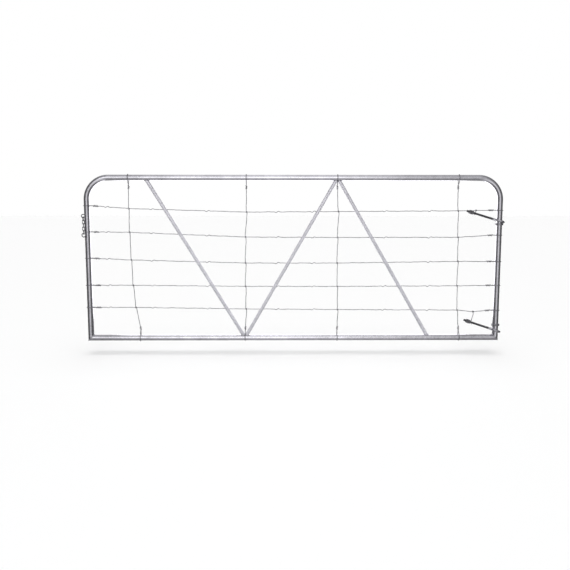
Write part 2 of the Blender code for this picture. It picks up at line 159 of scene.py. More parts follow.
COLLAR_RADIUS = 0.029
COLLAR_HEIGHT = 0.012
WASHER_ROUNDING = 0.0005
COLLAR_ROUNDING = 0.0011

# Latch chain. Turns are about the upright, from +X.
STAPLE_TURN = radians(233)
STAPLE_RADIUS = 0.003
STAPLE_LEG = 0.022
STAPLE_LOW_Z = 0.897
STAPLE_BEND = 0.040
STAPLE_SUNK = 0.0005  # how far its legs' ends lie inside the stile's surface
STAPLE_STEPS = 24
STAPLE_SIDES = 20
FILLET_STEPS = 36
LINK_BAR = 0.0025
LINK_INSIDE = 0.0244
LINK_INSIDE_WIDTH = 0.0085
LINK_COUNT = 5
LINK_GAP = 0.0004
LINK_TURN = radians(90 - 53 / 6)
RING_BAR = 0.0035
RING_INSIDE_RADIUS = 0.00925
RING_WELD = 0.75  # how far round the ring's weld is, from its side
RING_STEPS = 64
RING_SIDES = 20
LINK_STEP = 0.0011
LINK_BEND_STEPS = 16
LINK_SIDES = 16
LINK_SWELLING = 0.14  # of a link's bar where its ends are welded together
RING_SWELLING = 0.10
SWELLING_HALF = 0.035  # as a share of the way round

# Tie wires
TIE_FROM_NUT = 0.009
TIE_HOOK_RADIUS = 0.0122
TIE_LIP = 0.005
HOOK_STEPS = 12
TIE_SLANT = 0.02
TIE_DIP = 0.012
TIE_PITCH = 0.006
TIE_TURNS = 1.5

# Welds
BEAD = 0.0026
MITRE_BEAD = 0.0022
CORNER_BEAD = 0.0042
TACK_BEAD = 0.0021
STAPLE_BEAD = 0.0018
BEAD_SIDES = 10
BEAD_LOW = 0.86  # a bead's radius between its ripples, for its size
BEAD_RISE = 0.20
BEAD_END = 0.35
RIPPLE = 0.0024
SEAM_STEPS = 96
SEAM_GAP = 0.006  # a seam with a longer gap than this is welded as two
TACK_OUT = 0.0012  # how far a bead's middle line lies outside the tube
SKIN = 0.0004  # how far a bead's middle line lies outside a flat face or a bar

# Studio
GROUND_CLEARANCE = 0.09  # a hung gate's height above the ground
FLOOR_SIZE = 40
FLOOR_GREYS = (0.93, 0.95)
SUN_STRENGTH = 2.2
FRONT_SCREEN = ((-1.5, -7.5, 3.2), (6, 3), 60)  # place, size and power
BACK_SCREEN = ((0, 0.6, 0.6), (2.9, 1.1), 16)
# How bright the studio is, by how far a direction turns aside, and by its height from below to above
SCREEN_ACROSS = ((0.0, 1.0), (0.12, 0.85), (0.25, 0.5), (0.6, 0.22), (1.0, 0.08))
SCREEN_UPRIGHT = ((0.0, 0.40), (0.35, 0.85), (0.5, 1.0), (0.75, 1.0), (1.0, 0.75))

# Zinc
ZINC_TINT = (1.01, 0.995, 1.07)
RUBBED = 1.35  # how much brighter worn edges are
CRYSTAL_WARP = 0.35  # how far crystals are bent out of shape, for their size
GRAIN_SCALE = 900.0
BUMP_DEPTH = 0.00015
CRYSTAL_STOPS = ((0.2, 0.0), (0.8, 1.0))
CRYSTAL_SHADES = ((0.0, 0.86), (1.0, 1.0))
CLOUD_STOPS = ((0.38, 0.0), (0.66, 1.0))
SPECK_SHADES = ((0.30, 0.90), (0.50, 1.0))
RUB_STOPS = ((0.50, 0.0), (0.58, 1.0))

# Camera
CAMERA_PLACE = (-0.111, -5.0, 1.0327)
CAMERA_YAW = -0.0095
CAMERA_PITCH = pi / 2 - 0.1242
CAMERA_ROLL = 0.0005
SENSOR = 36
FOCAL_LENGTH = SENSOR * 693.57 / 570

BACK = Vector((0, 1, 0))
UP = Vector((0, 0, 1))
LEAF_MIDDLE = Vector((0, 0, LEAF_HEIGHT / 2))


# ---------------------------------------------------------------- materials


def zinc(grey):
    """The faintly violet colour of zinc that is this bright."""
    return tuple(min(1.0, share * grey) for share in ZINC_TINT) + (1,)


def add_node(tree, kind, **values):
    """A shader node. Names of its inputs are given with _ for a space."""
    node = tree.nodes.new(kind)
    for name, value in values.items():
        node.inputs[name.replace("_", " ")].default_value = value
    return node


def ramp(tree, source, stops):
    """A colour ramp that reads source and has these (position, grey) stops."""
    node = tree.nodes.new("ShaderNodeValToRGB")
    elements = node.color_ramp.elements
    while len(elements) < len(stops):
        elements.new(0.5)
    for element, (position, grey) in zip(elements, stops):
        element.position = position
        element.color = (grey, grey, grey, 1)
    tree.links.new(source, node.inputs["Fac"])
    return node.outputs["Color"]


def mixed(tree, factor, first, second, blend="MIX"):
    """first and second mixed by factor. Each is a socket or a colour."""
    node = tree.nodes.new("ShaderNodeMix")
    node.data_type = "RGBA"
    node.blend_type = blend
    inputs = [socket for socket in node.inputs if socket.enabled]
    for socket, value in zip(inputs, (factor, first, second)):
        if isinstance(value, bpy.types.NodeSocket):
            tree.links.new(value, socket)
        else:
            socket.default_value = value
    return next(socket for socket in node.outputs if socket.enabled)


def galvanised(name, greys, roughness, spangle, clouds=7.0, grain=0.35, worn=False, metallic=1.0):
    """Zinc on steel: crystals of the size spangle, cloudy dull patches and a fine grain.

    greys is the brightness of the bright and of the dull zinc, and roughness is (low, high).
    """
    light, dark = greys
    material = bpy.data.materials.new(name)
    material.use_nodes = True
    tree = material.node_tree
    shader = tree.nodes["Principled BSDF"]
    shader.inputs["Metallic"].default_value = metallic
    place = tree.nodes.new("ShaderNodeTexCoord").outputs["Object"]

    crystals = add_node(tree, "ShaderNodeTexVoronoi", Scale=1 / spangle, Randomness=1.0)
    warp = add_node(tree, "ShaderNodeTexNoise", Scale=0.5 / spangle, Detail=2.0)
    bent = tree.nodes.new("ShaderNodeVectorMath")
    bent.operation = "SCALE"
    bent.inputs["Scale"].default_value = CRYSTAL_WARP * spangle
    moved = tree.nodes.new("ShaderNodeVectorMath")
    tree.links.new(place, warp.inputs["Vector"])
    tree.links.new(warp.outputs["Color"], bent.inputs[0])
    tree.links.new(place, moved.inputs[0])
    tree.links.new(bent.outputs["Vector"], moved.inputs[1])
    tree.links.new(moved.outputs["Vector"], crystals.inputs["Vector"])
    facets = ramp(tree, crystals.outputs["Color"], CRYSTAL_STOPS)

    patches = add_node(tree, "ShaderNodeTexNoise", Scale=clouds, Detail=5.0, Roughness=0.6)
    tree.links.new(place, patches.inputs["Vector"])
    cloudy = ramp(tree, patches.outputs["Fac"], CLOUD_STOPS)
    fine = add_node(tree, "ShaderNodeTexNoise", Scale=GRAIN_SCALE, Detail=3.0, Roughness=0.7)
    tree.links.new(place, fine.inputs["Vector"])

    colour = mixed(tree, cloudy, zinc(light), zinc(dark))
    shades = ramp(tree, facets, CRYSTAL_SHADES)
    colour = mixed(tree, 1.0, colour, shades, "MULTIPLY")
    specks = ramp(tree, fine.outputs["Fac"], SPECK_SHADES)
    colour = mixed(tree, 1.0, colour, specks, "MULTIPLY")
    if worn:
        edges = tree.nodes.new("ShaderNodeNewGeometry").outputs["Pointiness"]
        rubbed = ramp(tree, edges, RUB_STOPS)
        colour = mixed(tree, rubbed, colour, zinc(RUBBED * light))
    tree.links.new(colour, shader.inputs["Base Color"])

    low, high = roughness
    dulled = mixed(tree, 0.5, facets, cloudy)
    span = tree.nodes.new("ShaderNodeMapRange")
    span.inputs["To Min"].default_value = low
    span.inputs["To Max"].default_value = high
    tree.links.new(dulled, span.inputs["Value"])
    tree.links.new(span.outputs["Result"], shader.inputs["Roughness"])

    lumps = mixed(tree, 0.4, facets, fine.outputs["Fac"])
    bump = add_node(tree, "ShaderNodeBump", Strength=grain, Distance=BUMP_DEPTH)
    tree.links.new(lumps, bump.inputs["Height"])
    tree.links.new(bump.outputs["Normal"], shader.inputs["Normal"])
    return material


def floor_material():
    """Pale matt floor with a faint mottle."""
    material = bpy.data.materials.new("pale_floor")
    material.use_nodes = True
    tree = material.node_tree
    shader = tree.nodes["Principled BSDF"]
    shader.inputs["Roughness"].default_value = 0.9
    mottle = add_node(tree, "ShaderNodeTexNoise", Scale=1.5, Detail=4.0)
    first, second = [(grey, grey, grey, 1) for grey in FLOOR_GREYS]
    colour = mixed(tree, mottle.outputs["Fac"], first, second)
    tree.links.new(colour, shader.inputs["Base Color"])
    return material


# ---------------------------------------------------------------- mesh helpers


def sweep(path, radius, sides, closed=False, across=None):
    """The points and faces of a bar along a path. radius is a number or a function of index and angle.

    across is a vector that each ring's first point leans towards. Open ends are closed with a face.
    """
    count = len(path)
    tangents = []
    for i in range(count):
        if closed:
            ahead = path[(i + 1) % count] - path[i - 1]
        else:
            ahead = path[min(i + 1, count - 1)] - path[max(i - 1, 0)]
        tangents.append(ahead.normalized())
    first = across or (UP if abs(tangents[0].z) < 0.9 else BACK)
    normal = (first - first.dot(tangents[0]) * tangents[0]).normalized()
    normals = [normal]
    for tangent in tangents[1:]:
        normal = (normal - normal.dot(tangent) * tangent).normalized()
        normals.append(normal)
    twist = 0.0
    if closed:
        end = (normals[-1] - normals[-1].dot(tangents[0]) * tangents[0]).normalized()
        twist = atan2(normals[0].dot(tangents[0].cross(end)), normals[0].dot(end))
    points, faces = [], []
    for i, (centre, tangent, normal) in enumerate(zip(path, tangents, normals)):
        side = tangent.cross(normal)
        for k in range(sides):
            turn = tau * k / sides
            at = turn - twist * i / count
            r = radius(i, turn) if callable(radius) else radius
            points.append(centre + r * (cos(at) * normal + sin(at) * side))
        if i < count - 1 or closed:
            low, high = i * sides, (i + 1) % count * sides
            for k in range(sides):
                j = (k + 1) % sides
                faces.append((low + k, low + j, high + j, high + k))
    if not closed:
        faces.append(tuple(range(sides))[::-1])
        faces.append(tuple(range(len(points) - sides, len(points))))
    return points, faces


def joined(*shapes):
    """Several lists of points and faces as one."""
    points, faces = [], []
    for some_points, some_faces in shapes:
        start = len(points)
        points += some_points
        faces += [tuple(start + i for i in face) for face in some_faces]
    return points, faces


def placed(shape, matrix):
    points, faces = shape
    return [matrix @ p for p in points], faces


def shown(name, data):
    """A new object in the scene."""
    obj = bpy.data.objects.new(name, data)
    bpy.context.scene.collection.objects.link(obj)
    return obj


def piece(name, shape, material, slot, body, *nodes, crease=40):
    """A shown piece that rides on a body and stands for these CAD nodes."""
    mesh = bpy.data.meshes.new(name)
    points, faces = shape
    mesh.from_pydata(points, [], faces)
    mesh.validate()
    mesh.shade_smooth()
    mesh.set_sharp_from_angle(angle=radians(crease))
    mesh.materials.append(material)
    obj = shown(name, mesh)
    if nodes:
        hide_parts(*nodes)
    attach(obj, body)
    return obj


def resampled(path, step, closed=False):
    """Points a fixed step apart along a polyline."""
    line = list(path) + ([path[0]] if closed else [])
    lengths = [(b - a).length for a, b in zip(line, line[1:])]
    total = sum(lengths)
    count = max(2, round(total / step))
    found, i, before = [], 0, 0.0
    for n in range(count if closed else count + 1):
        at = total * n / count
        while i < len(lengths) - 1 and before + lengths[i] < at:
            before += lengths[i]
            i += 1
        share = (at - before) / lengths[i] if lengths[i] else 0.0
        found.append(line[i].lerp(line[i + 1], min(1.0, share)))
    return found


def bead(path, size=BEAD, closed=False):
    """A weld bead with the ripples that a torch leaves, tapered at its ends."""
    step = RIPPLE / 5
    line = resampled(path, step, closed)

    def radius(i, turn):
        ripple = BEAD_LOW + BEAD_RISE * abs(sin(pi * i * step / RIPPLE))
        sway = 1 + 0.09 * sin(0.31 * i) + 0.06 * sin(0.83 * i + 1)
        ends = 1.0
        if not closed:
            ends = min(1.0, BEAD_END + min(i, len(line) - 1 - i) / 8)
        return size * ripple * sway * ends

    return sweep(line, radius, BEAD_SIDES, closed)


def band(low, high, sides):
    """The faces between two rings of points that start at low and at high."""
    faces = []
    for k in range(sides):
        j = (k + 1) % sides
        faces.append((low + k, high + k, high + j, low + j))
    return faces


def turned(profile, sides):
    """A closed ring round the X axis from (x, radius) points. A radius may be a function of the angle."""
    points, faces = [], []
    for i, (x, radius) in enumerate(profile):
        for k in range(sides):
            turn = tau * k / sides
            r = radius(turn) if callable(radius) else radius
            points.append(Vector((x, r * cos(turn), r * sin(turn))))
        faces += band(i * sides, (i + 1) % len(profile) * sides, sides)
    return points, faces


# ---------------------------------------------------------------- frame and braces


def rail_seam(foot, direction, rail_z, keep):
    """Where a brace's surface meets a rail's, as far as keep(point) allows."""
    direction = direction.normalized()
    across = direction.cross(BACK).normalized()
    seam = []
    for k in range(SEAM_STEPS + 1):
        turn = tau * k / SEAM_STEPS + pi / 2
        start = foot + BRACE_RADIUS * (cos(turn) * across + sin(turn) * BACK)
        reach = sqrt(max(0.0, FRAME_RADIUS**2 - start.y**2))
        level = rail_z + (reach if direction.z > 0 else -reach)
        point = start + direction * (level - start.z) / direction.z
        if keep(point):
            seam.append(point)
    return seam


def mitre_seam(foot, direction, rail_z):
    """Where two braces that share a foot meet on the upright plane through it, outside the rail."""
    direction = direction.normalized()
    across = direction.cross(BACK).normalized()
    seam = []
    for k in range(SEAM_STEPS + 1):
        turn = tau * k / SEAM_STEPS
        start = foot + BRACE_RADIUS * (cos(turn) * across + sin(turn) * BACK)
        point = start + direction * (foot.x - start.x) / direction.x
        inside = (point.z - rail_z) * direction.z > 0
        if inside and hypot(point.y, point.z - rail_z) > FRAME_RADIUS:
            seam.append(point)
    return seam


def split(points):
    """Runs of points with no gap between them."""
    runs = [[points[0]]]
    for before, point in zip(points, points[1:]):
        if (point - before).length > SEAM_GAP:
            runs.append([])
        runs[-1].append(point)
    if len(runs) > 1 and (runs[-1][-1] - runs[0][0]).length < SEAM_GAP:
        runs[0] = runs.pop() + runs[0]
    return [run for run in runs if len(run) > 3]


def frame_path():
    """The centre line of the bent tube, and for each point how far round its bend it is, from 0 to 1."""
    path, bends = [], []

    def straight(start, end, count):
        for i in range(count):
            path.append(start.lerp(end, i / count))
            bends.append(0.0)

    def bend(centre, first):
        for i in range(BEND_STEPS + 1):
            turn = first - pi / 2 * i / BEND_STEPS
            path.append(centre + CORNER_RADIUS * Vector((cos(turn), 0, sin(turn))))
            bends.append(i / BEND_STEPS)

    left, right = [
        Vector((side * (STILE_X - CORNER_RADIUS), 0, TOP_RAIL_Z - CORNER_RADIUS)) for side in (-1, 1)
    ]
    left_foot = Vector((-STILE_X, 0, BOTTOM_RAIL_Z))
    right_foot = Vector((STILE_X, 0, BOTTOM_RAIL_Z))
    straight(left_foot, left + Vector((-CORNER_RADIUS, 0, 0)), STILE_STEPS)
    bend(left, pi)
    straight(path[-1] + Vector((TUBE_STEP, 0, 0)), right + Vector((0, 0, CORNER_RADIUS)), RAIL_STEPS)
    bend(right, pi / 2)
    straight(path[-1] - Vector((0, 0, TUBE_STEP)), right_foot, STILE_STEPS)
    path.append(right_foot)
    bends.append(0.0)
    return path, bends


def make_frame_tube(metal):
    path, bends = frame_path()

    def radius(i, turn):
        flat = BEND_FLATTENING * sin(pi * bends[i]) ** 2
        return FRAME_RADIUS * (1 - flat * sin(turn) ** 2)

    points, faces = sweep(path, radius, TUBE_SIDES, across=BACK)
    for point in points[:TUBE_SIDES] + points[-TUBE_SIDES:]:
        point.z = LEAF_WIDTH / 2 - abs(point.x)
    piece("frame_tube", (points, faces), metal, "frame_tube", "leaf", "bent_frame_tube")


def make_bottom_rail(metal):
    ends = [Vector((x, 0, BOTTOM_RAIL_Z)) for x in (-STILE_X, STILE_X)]
    points, faces = sweep(resampled(ends, TUBE_STEP), FRAME_RADIUS, TUBE_SIDES, across=BACK)
    for point in points[:TUBE_SIDES] + points[-TUBE_SIDES:]:
        point.x = (LEAF_WIDTH / 2 - point.z) * (1 if point.x > 0 else -1)
    piece("bottom_rail_tube", (points, faces), metal, "frame_tube", "leaf", "bottom_rail")


def make_corner_welds(metal):
    """A bead round each mitre, and a thicker one in its inner corner."""
    welds = []
    for side in (-1, 1):
        seam = []
        for k in range(SEAM_STEPS):
            turn = tau * k / SEAM_STEPS
            x = STILE_X + FRAME_RADIUS * cos(turn)
            seam.append(Vector((side * x, FRAME_RADIUS * sin(turn), LEAF_WIDTH / 2 - x)))
        welds.append(bead(seam, MITRE_BEAD, closed=True))
        inner = [p for p in seam if abs(p.x) < STILE_X - FRAME_RADIUS / 2]
        inner.sort(key=lambda p: p.y)
        welds.append(bead(inner, CORNER_BEAD))
    piece("corner_welds", joined(*welds), metal, "frame_tube", "leaf", crease=60)


def on_side(middle, mitre):
    """A test for points on the same side of a mitre as a brace's middle. mitre is None where it has none."""
    if mitre is None:
        return lambda point: True
    if middle.x > mitre:
        return lambda point: point.x > mitre
    return lambda point: point.x < mitre


def make_braces(metal, weld_metal):
    left_top, shared_top = BRACE_TOPS
    shared_foot, right_foot = BRACE_FEET
    braces = {
        "brace_left": (left_top, shared_foot, None, shared_foot),
        "brace_middle": (shared_top, shared_foot, shared_top, shared_foot),
        "brace_right": (shared_top, right_foot, shared_top, None),
    }
    welds = []
    for name, (top_x, foot_x, top_mitre, foot_mitre) in braces.items():
        foot, top = Vector((foot_x, 0, BOTTOM_RAIL_Z)), Vector((top_x, 0, TOP_RAIL_Z))
        middle = (foot + top) / 2
        along = (top - foot).normalized()
        points, faces = sweep(resampled((foot, top), BRACE_STEP), BRACE_RADIUS, BRACE_SIDES, across=BACK)
        cope_ends(points, along, foot_mitre, top_mitre)
        piece(name + "_tube", (points, faces), metal, "brace_tube", "leaf", name)
        for end, away, rail_z, mitre in (
            (foot, along, BOTTOM_RAIL_Z, foot_mitre),
            (top, -along, TOP_RAIL_Z, top_mitre),
        ):
            seam = rail_seam(end, away, rail_z, on_side(middle, mitre))
            welds += [bead(run) for run in split(seam)]
    slope = Vector((shared_top - shared_foot, 0, TOP_RAIL_Z - BOTTOM_RAIL_Z))
    for x, away, rail_z in ((shared_foot, slope, BOTTOM_RAIL_Z), (shared_top, -slope, TOP_RAIL_Z)):
        seam = mitre_seam(Vector((x, 0, rail_z)), away, rail_z)
        welds += [bead(run, MITRE_BEAD) for run in split(seam)]
    piece("brace_welds", joined(*welds), weld_metal, "brace_tube", "leaf", crease=60)


def cope_ends(points, along, foot_mitre, top_mitre):
    """Moves a brace's end rings along it, onto the rail or onto the plane where it meets its neighbour."""
    for ring, rail_z, mitre, sign in (
        (points[:BRACE_SIDES], BOTTOM_RAIL_Z, foot_mitre, 1),
        (points[-BRACE_SIDES:], TOP_RAIL_Z, top_mitre, -1),
    ):
        for point in ring:
            reach = sqrt(max(0.0, (FRAME_RADIUS - COPE_INSET) ** 2 - point.y**2))
            move = (rail_z + sign * reach - point.z) / along.z
            if mitre is not None:
                to_plane = (mitre - point.x) / along.x
                move = max(move, to_plane) if sign > 0 else min(move, to_plane)
            point += along * move


# ---------------------------------------------------------------- wires


def coil(start, direction, outwards, pitch, turns):
    """A coil of COIL_RADIUS round the line from start, that begins on the outwards side."""
    direction = direction.normalized()
    first = (outwards - outwards.dot(direction) * direction).normalized()
    second = direction.cross(first)
    points = []
    for i in range(round(turns * COIL_STEPS) + 1):
        turn = tau * i / COIL_STEPS
        aside = COIL_RADIUS * (cos(turn) * first + sin(turn) * second)
        points.append(start + direction * pitch * i / COIL_STEPS + aside)
    return points


def end_loop(axis_point, inwards, meets, meet_y, towards, turns):
    """A wire's end: round the tube whose axis passes through axis_point, then back round the wire itself."""
    start = axis_point + inwards * meets + BACK * meet_y
    tail_y = meet_y - COIL_RADIUS
    leave = atan2(meet_y, meets) + acos(LOOP_RADIUS / hypot(meets, meet_y))
    arrive = tau + atan2(tail_y, meets) - acos(LOOP_RADIUS / hypot(meets, tail_y))
    steps = ceil((arrive - leave) / radians(9))
    loop = []
    for i in range(steps + 1):
        turn = leave + (arrive - leave) * i / steps
        loop.append(axis_point + LOOP_RADIUS * (cos(turn) * inwards + sin(turn) * BACK))
    return [start] + loop + coil(start, towards - start, -BACK, TAIL_PITCH, turns)


def stray(at, seed):
    """A smooth wander between -1 and 1."""
    return 0.5 * sin(37 * at + 5 * seed) + 0.3 * sin(83 * at + 2.3 * seed) + 0.2 * sin(151 * at + seed)


def crimp(x):
    """The height of the tension kinks at x, from -1 to 1."""
    for place in CRIMPS_X:
        share = (x - place) / CRIMP_HALF
        if abs(share) < 1:
            return CRIMP_PEAK * sin(pi * share) * cos(pi / 2 * share)
    return 0.0


def hand_strung(start, end, seed, crimped=False):
    """Points between two fixed ones, along a stretch that wanders as hand-strung wire does."""
    length = (end - start).length
    along = (end - start).normalized()
    side = along.cross(BACK)
    count = max(2, round(length / WIRE_STEP))
    points = []
    for i in range(1, count):
        share = i / count
        point = start.lerp(end, share)
        free = min(1.0, CALM * share * (1 - share))
        at = point.x + point.z
        shift = WANDER * free * stray(at, seed)
        if crimped:
            shift += CRIMP_DEPTH * free * crimp(point.x)
        depth = WANDER_DEEP * WANDER * free * stray(at, seed + 3)
        points.append(point + side * shift + BACK * depth)
    return points


def strung(knots, seed, crimped=False):
    """A route through knots, each a list of points, with hand-strung stretches between them."""
    route = list(knots[0])
    for knot in knots[1:]:
        route += hand_strung(route[-1], knot[0], seed, crimped)
        route += knot
    return route


def tie_on_line_wire(number, x):
    """The point of a line wire at x, between the last stay wire and the hanging stile."""
    stay_x = STAY_PLACES[-1][number]
    share = (x - stay_x) / (STILE_X - LINE_MEETS - stay_x)
    stay_z, stile_z = LINE_HEIGHTS[number - 1][-2:]
    dip = TIE_DIP if number == len(LINE_HEIGHTS) else 0
    return Vector((x, LINE_Y * (1 - share), stay_z + (stile_z - stay_z) * share - dip))


def bolt_point(eye, reach):
    """The point on an eye bolt's axis at this reach from the middle of its eye."""
    eye_z, tilt = EYES[eye]
    direction = Vector((-cos(BOLT_TURN) * cos(tilt), -sin(BOLT_TURN) * cos(tilt), sin(tilt)))
    return Vector((STILE_X, 0, eye_z)) + reach * direction


def tie_reach():
    """How far along a bolt its tie wire holds it."""
    nuts = 2 * NUT_THICKNESS + 2 * WASHER_THICKNESS + 2 * GAP + WASHER_SPACE
    return BOLT_REACH - NUT_FROM_TIP - nuts - TIE_FROM_NUT


def make_line_wire(number, heights, metal):
    knots = [[Vector((places[number], LINE_Y, z))] for places, z in zip(STAY_PLACES, heights[1:-1])]
    if number == len(LINE_HEIGHTS):
        knots.append([tie_on_line_wire(number, bolt_point("lower", tie_reach()).x + TIE_SLANT)])
    left_axis = Vector((-STILE_X, 0, heights[0]))
    right_axis = Vector((STILE_X, 0, heights[-1]))
    left = end_loop(left_axis, Vector((1, 0, 0)), LINE_MEETS, 0, knots[0][0], LINE_TAIL_TURNS)
    right = end_loop(right_axis, Vector((-1, 0, 0)), LINE_MEETS, 0, knots[-1][0], LINE_TAIL_TURNS)
    route = strung([left[::-1], *knots, right], number, crimped=True)
    node = f"line_wire_{number}"
    piece(node + "_strand", sweep(route, WIRE_RADIUS, WIRE_SIDES), metal, "infill_wire", "leaf", node)


def make_stay_wire(number, places, metal):
    crossings = []
    for x, heights in zip(places[1:-1], LINE_HEIGHTS):
        crossing = []
        for i in range(COIL_STEPS + 1):
            turn = tau * i / COIL_STEPS
            along = x + CROSSING_SHIFT * (i / COIL_STEPS - 0.5)
            y = LINE_Y + COIL_RADIUS * cos(turn)
            crossing.append(Vector((along, y, heights[number] - COIL_RADIUS * sin(turn))))
        crossings.append(crossing)
    top_axis = Vector((places[0], 0, TOP_RAIL_Z))
    bottom_axis = Vector((places[-1], 0, BOTTOM_RAIL_Z))
    top = end_loop(top_axis, -UP, STAY_MEETS, STAY_Y, crossings[0][0], STAY_TAIL_TURNS)
    bottom = end_loop(bottom_axis, UP, STAY_MEETS, STAY_Y, crossings[-1][-1], STAY_TAIL_TURNS)
    route = strung([top[::-1], *crossings, bottom], number + 7)
    node = f"stay_wire_{number}"
    piece(node + "_strand", sweep(route, WIRE_RADIUS, WIRE_SIDES), metal, "infill_wire", "leaf", node)


def make_tie_wire(node, number, eye, metal):
    held = bolt_point(eye, tie_reach())
    on_wire = tie_on_line_wire(number, held.x + TIE_SLANT)
    stay = Vector((STAY_PLACES[-1][number], LINE_Y, LINE_HEIGHTS[number - 1][-2]))
    hook = [held + Vector((0, -TIE_LIP, -TIE_HOOK_RADIUS))]
    for i in range(HOOK_STEPS + 1):
        turn = radians(90 * i / HOOK_STEPS - 90)
        hook.append(held + TIE_HOOK_RADIUS * Vector((0, cos(turn), sin(turn))))
    twist = coil(on_wire, stay - on_wire, -BACK, TIE_PITCH, TIE_TURNS)
    route = strung([hook, twist], number)
    piece(node + "_strand", sweep(route, WIRE_RADIUS, WIRE_SIDES), metal, "tie_wire", "leaf", node)


# ---------------------------------------------------------------- hinges


def eye_shape():
    """An eye and its neck, with the eye's hole along Z and the bolt along -X."""
    turns = [tau * i / EYE_STEPS for i in range(EYE_STEPS)]
    ring = [EYE_RADIUS * Vector((cos(turn), sin(turn), 0)) for turn in turns]
    torus = sweep(ring, ROD_RADIUS, ROD_SIDES, closed=True, across=UP)
    length = NECK_REACH - EYE_RADIUS
    neck = [Vector((-EYE_RADIUS - length * i / NECK_STEPS, 0, 0)) for i in range(NECK_STEPS + 1)]

    def radius(i, turn):
        flare = (1 - i / NECK_STEPS) ** NECK_FADE
        return ROD_RADIUS * (1 + NECK_FLARE * flare * sin(turn) ** 2)

    return joined(torus, sweep(neck, radius, ROD_SIDES, across=UP))


def threaded_rod():
    """The straight part of an eye bolt, along -X: a smooth stretch, a rolled thread and a chamfered tip."""
    count = round((BOLT_REACH - SMOOTH_REACH) / THREAD_PITCH * THREAD_ROWS)
    reaches = [NECK_REACH - NECK_OVERLAP, SMOOTH_REACH - THREAD_APPROACH]
    reaches += [SMOOTH_REACH + (BOLT_REACH - SMOOTH_REACH) * i / count for i in range(count + 1)]
    points, faces = [], []
    for i, reach in enumerate(reaches):
        cut = min(1.0, max(0.0, (reach - SMOOTH_REACH) / (THREAD_RUN_OUT * THREAD_PITCH)))
        limit = ROD_RADIUS - max(0.0, reach - BOLT_REACH + TIP_CHAMFER)
        for k in range(ROD_SIDES):
            share = k / ROD_SIDES
            wave = 0.5 + 0.5 * cos(tau * (reach / THREAD_PITCH - share))
            radius = ROD_RADIUS - cut * (CREST_DROP + THREAD_DEPTH * (1 - wave) ** ROOT_SHAPE)
            radius = min(radius, limit)
            points.append(Vector((-reach, radius * cos(tau * share), radius * sin(tau * share))))
        if i > 0:
            faces += band((i - 1) * ROD_SIDES, i * ROD_SIDES, ROD_SIDES)
    faces.append(tuple(range(ROD_SIDES)))
    faces.append(tuple(range(len(points) - ROD_SIDES, len(points)))[::-1])
    return points, faces


def nut_shape(low, high):
    """A hexagon nut from low to high along X, with chamfered corners and mouths."""

    def outline(distance):
        """The outline at this distance from the nearer end, as a function of the angle."""

        def radius(turn):
            hexagon = NUT_FLATS / 2 / cos((turn + pi / 6) % (pi / 3) - pi / 6)
            return min(hexagon, NUT_FLATS / 2 * NUT_FACE + distance * NUT_SLOPE)

        return radius

    levels = [NUT_CORNER * i / 5 for i in range(6)]
    profile = [(low + d, outline(d)) for d in levels] + [(high - d, outline(d)) for d in reversed(levels)]
    mouth = BORE_RADIUS + NUT_MOUTH
    profile += [(high, mouth), (high - NUT_MOUTH, BORE_RADIUS), (low + NUT_MOUTH, BORE_RADIUS), (low, mouth)]
    return turned(profile, NUT_SIDES)


def ring_shape(low, high, inside, outside, bevel, sides=64):
    """A washer or collar along X, with rounded edges."""
    profile = []
    for x, r, turn in (
        (high - bevel, outside - bevel, 0),
        (low + bevel, outside - bevel, 90),
        (low + bevel, inside + bevel, 180),
        (high - bevel, inside + bevel, 270),
    ):
        for i in range(4):
            at = radians(turn + 30 * i)
            profile.append((x + bevel * cos(at), r + bevel * sin(at)))
    return turned(profile, sides)


def make_eye_bolt(eye, bolt_metal, thread_metal, nut_metal):
    eye_z, tilt = EYES[eye]
    place = Matrix.Translation((STILE_X, 0, eye_z)) @ Matrix.Rotation(BOLT_TURN, 4, "Z")
    place = place @ Matrix.Rotation(tilt, 4, "Y")
    node = eye + "_eye_bolt"
    ring = placed(eye_shape(), place)
    piece(node + "_forging", ring, bolt_metal, "eye_bolt", "hinge_bolts", node, crease=50)
    rod = placed(threaded_rod(), place)
    piece(node + "_thread", rod, thread_metal, "eye_bolt", "hinge_bolts", crease=50)
    reach = BOLT_REACH - NUT_FROM_TIP
    for name, thickness, space in (
        ("outer_nut", NUT_THICKNESS, 0),
        ("outer_washer", WASHER_THICKNESS, GAP),
        ("inner_washer", WASHER_THICKNESS, WASHER_SPACE),
        ("inner_nut", NUT_THICKNESS, GAP),
    ):
        reach -= space
        if name.endswith("nut"):
            shape = nut_shape(-reach, thickness - reach)
        else:
            shape = ring_shape(-reach, thickness - reach, BORE_RADIUS, WASHER_RADIUS, WASHER_ROUNDING)
        spin = place @ Matrix.Rotation(NUT_TURNS.get(name, 0), 4, "X")
        node = f"{eye}_{name}"
        piece(node + "_part", placed(shape, spin), nut_metal, "fastener", "hinge_bolts", node, crease=32)
        reach -= thickness


def make_collar(node, metal, weld_metal):
    low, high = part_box(node)
    place = Matrix.Translation((STILE_X, 0, low.z)) @ Matrix.Rotation(-pi / 2, 4, "Y")
    shape = ring_shape(0, COLLAR_HEIGHT, FRAME_RADIUS + GAP, COLLAR_RADIUS, COLLAR_ROUNDING)
    piece(node + "_sleeve", placed(shape, place), metal, "collar", "leaf", node, crease=50)
    reach = FRAME_RADIUS + TACK_OUT
    tacks = []
    for z, first in ((high.z + SKIN, 20), (low.z - SKIN, 60)):
        for n in range(3):
            turns = [radians(first + 120 * n + 4 * i) for i in range(11)]
            path = [Vector((STILE_X + reach * cos(t), reach * sin(t), z)) for t in turns]
            tacks.append(bead(path, TACK_BEAD))
    piece(node + "_tacks", joined(*tacks), weld_metal, "collar", "leaf", crease=60)


# ---------------------------------------------------------------- latch chain


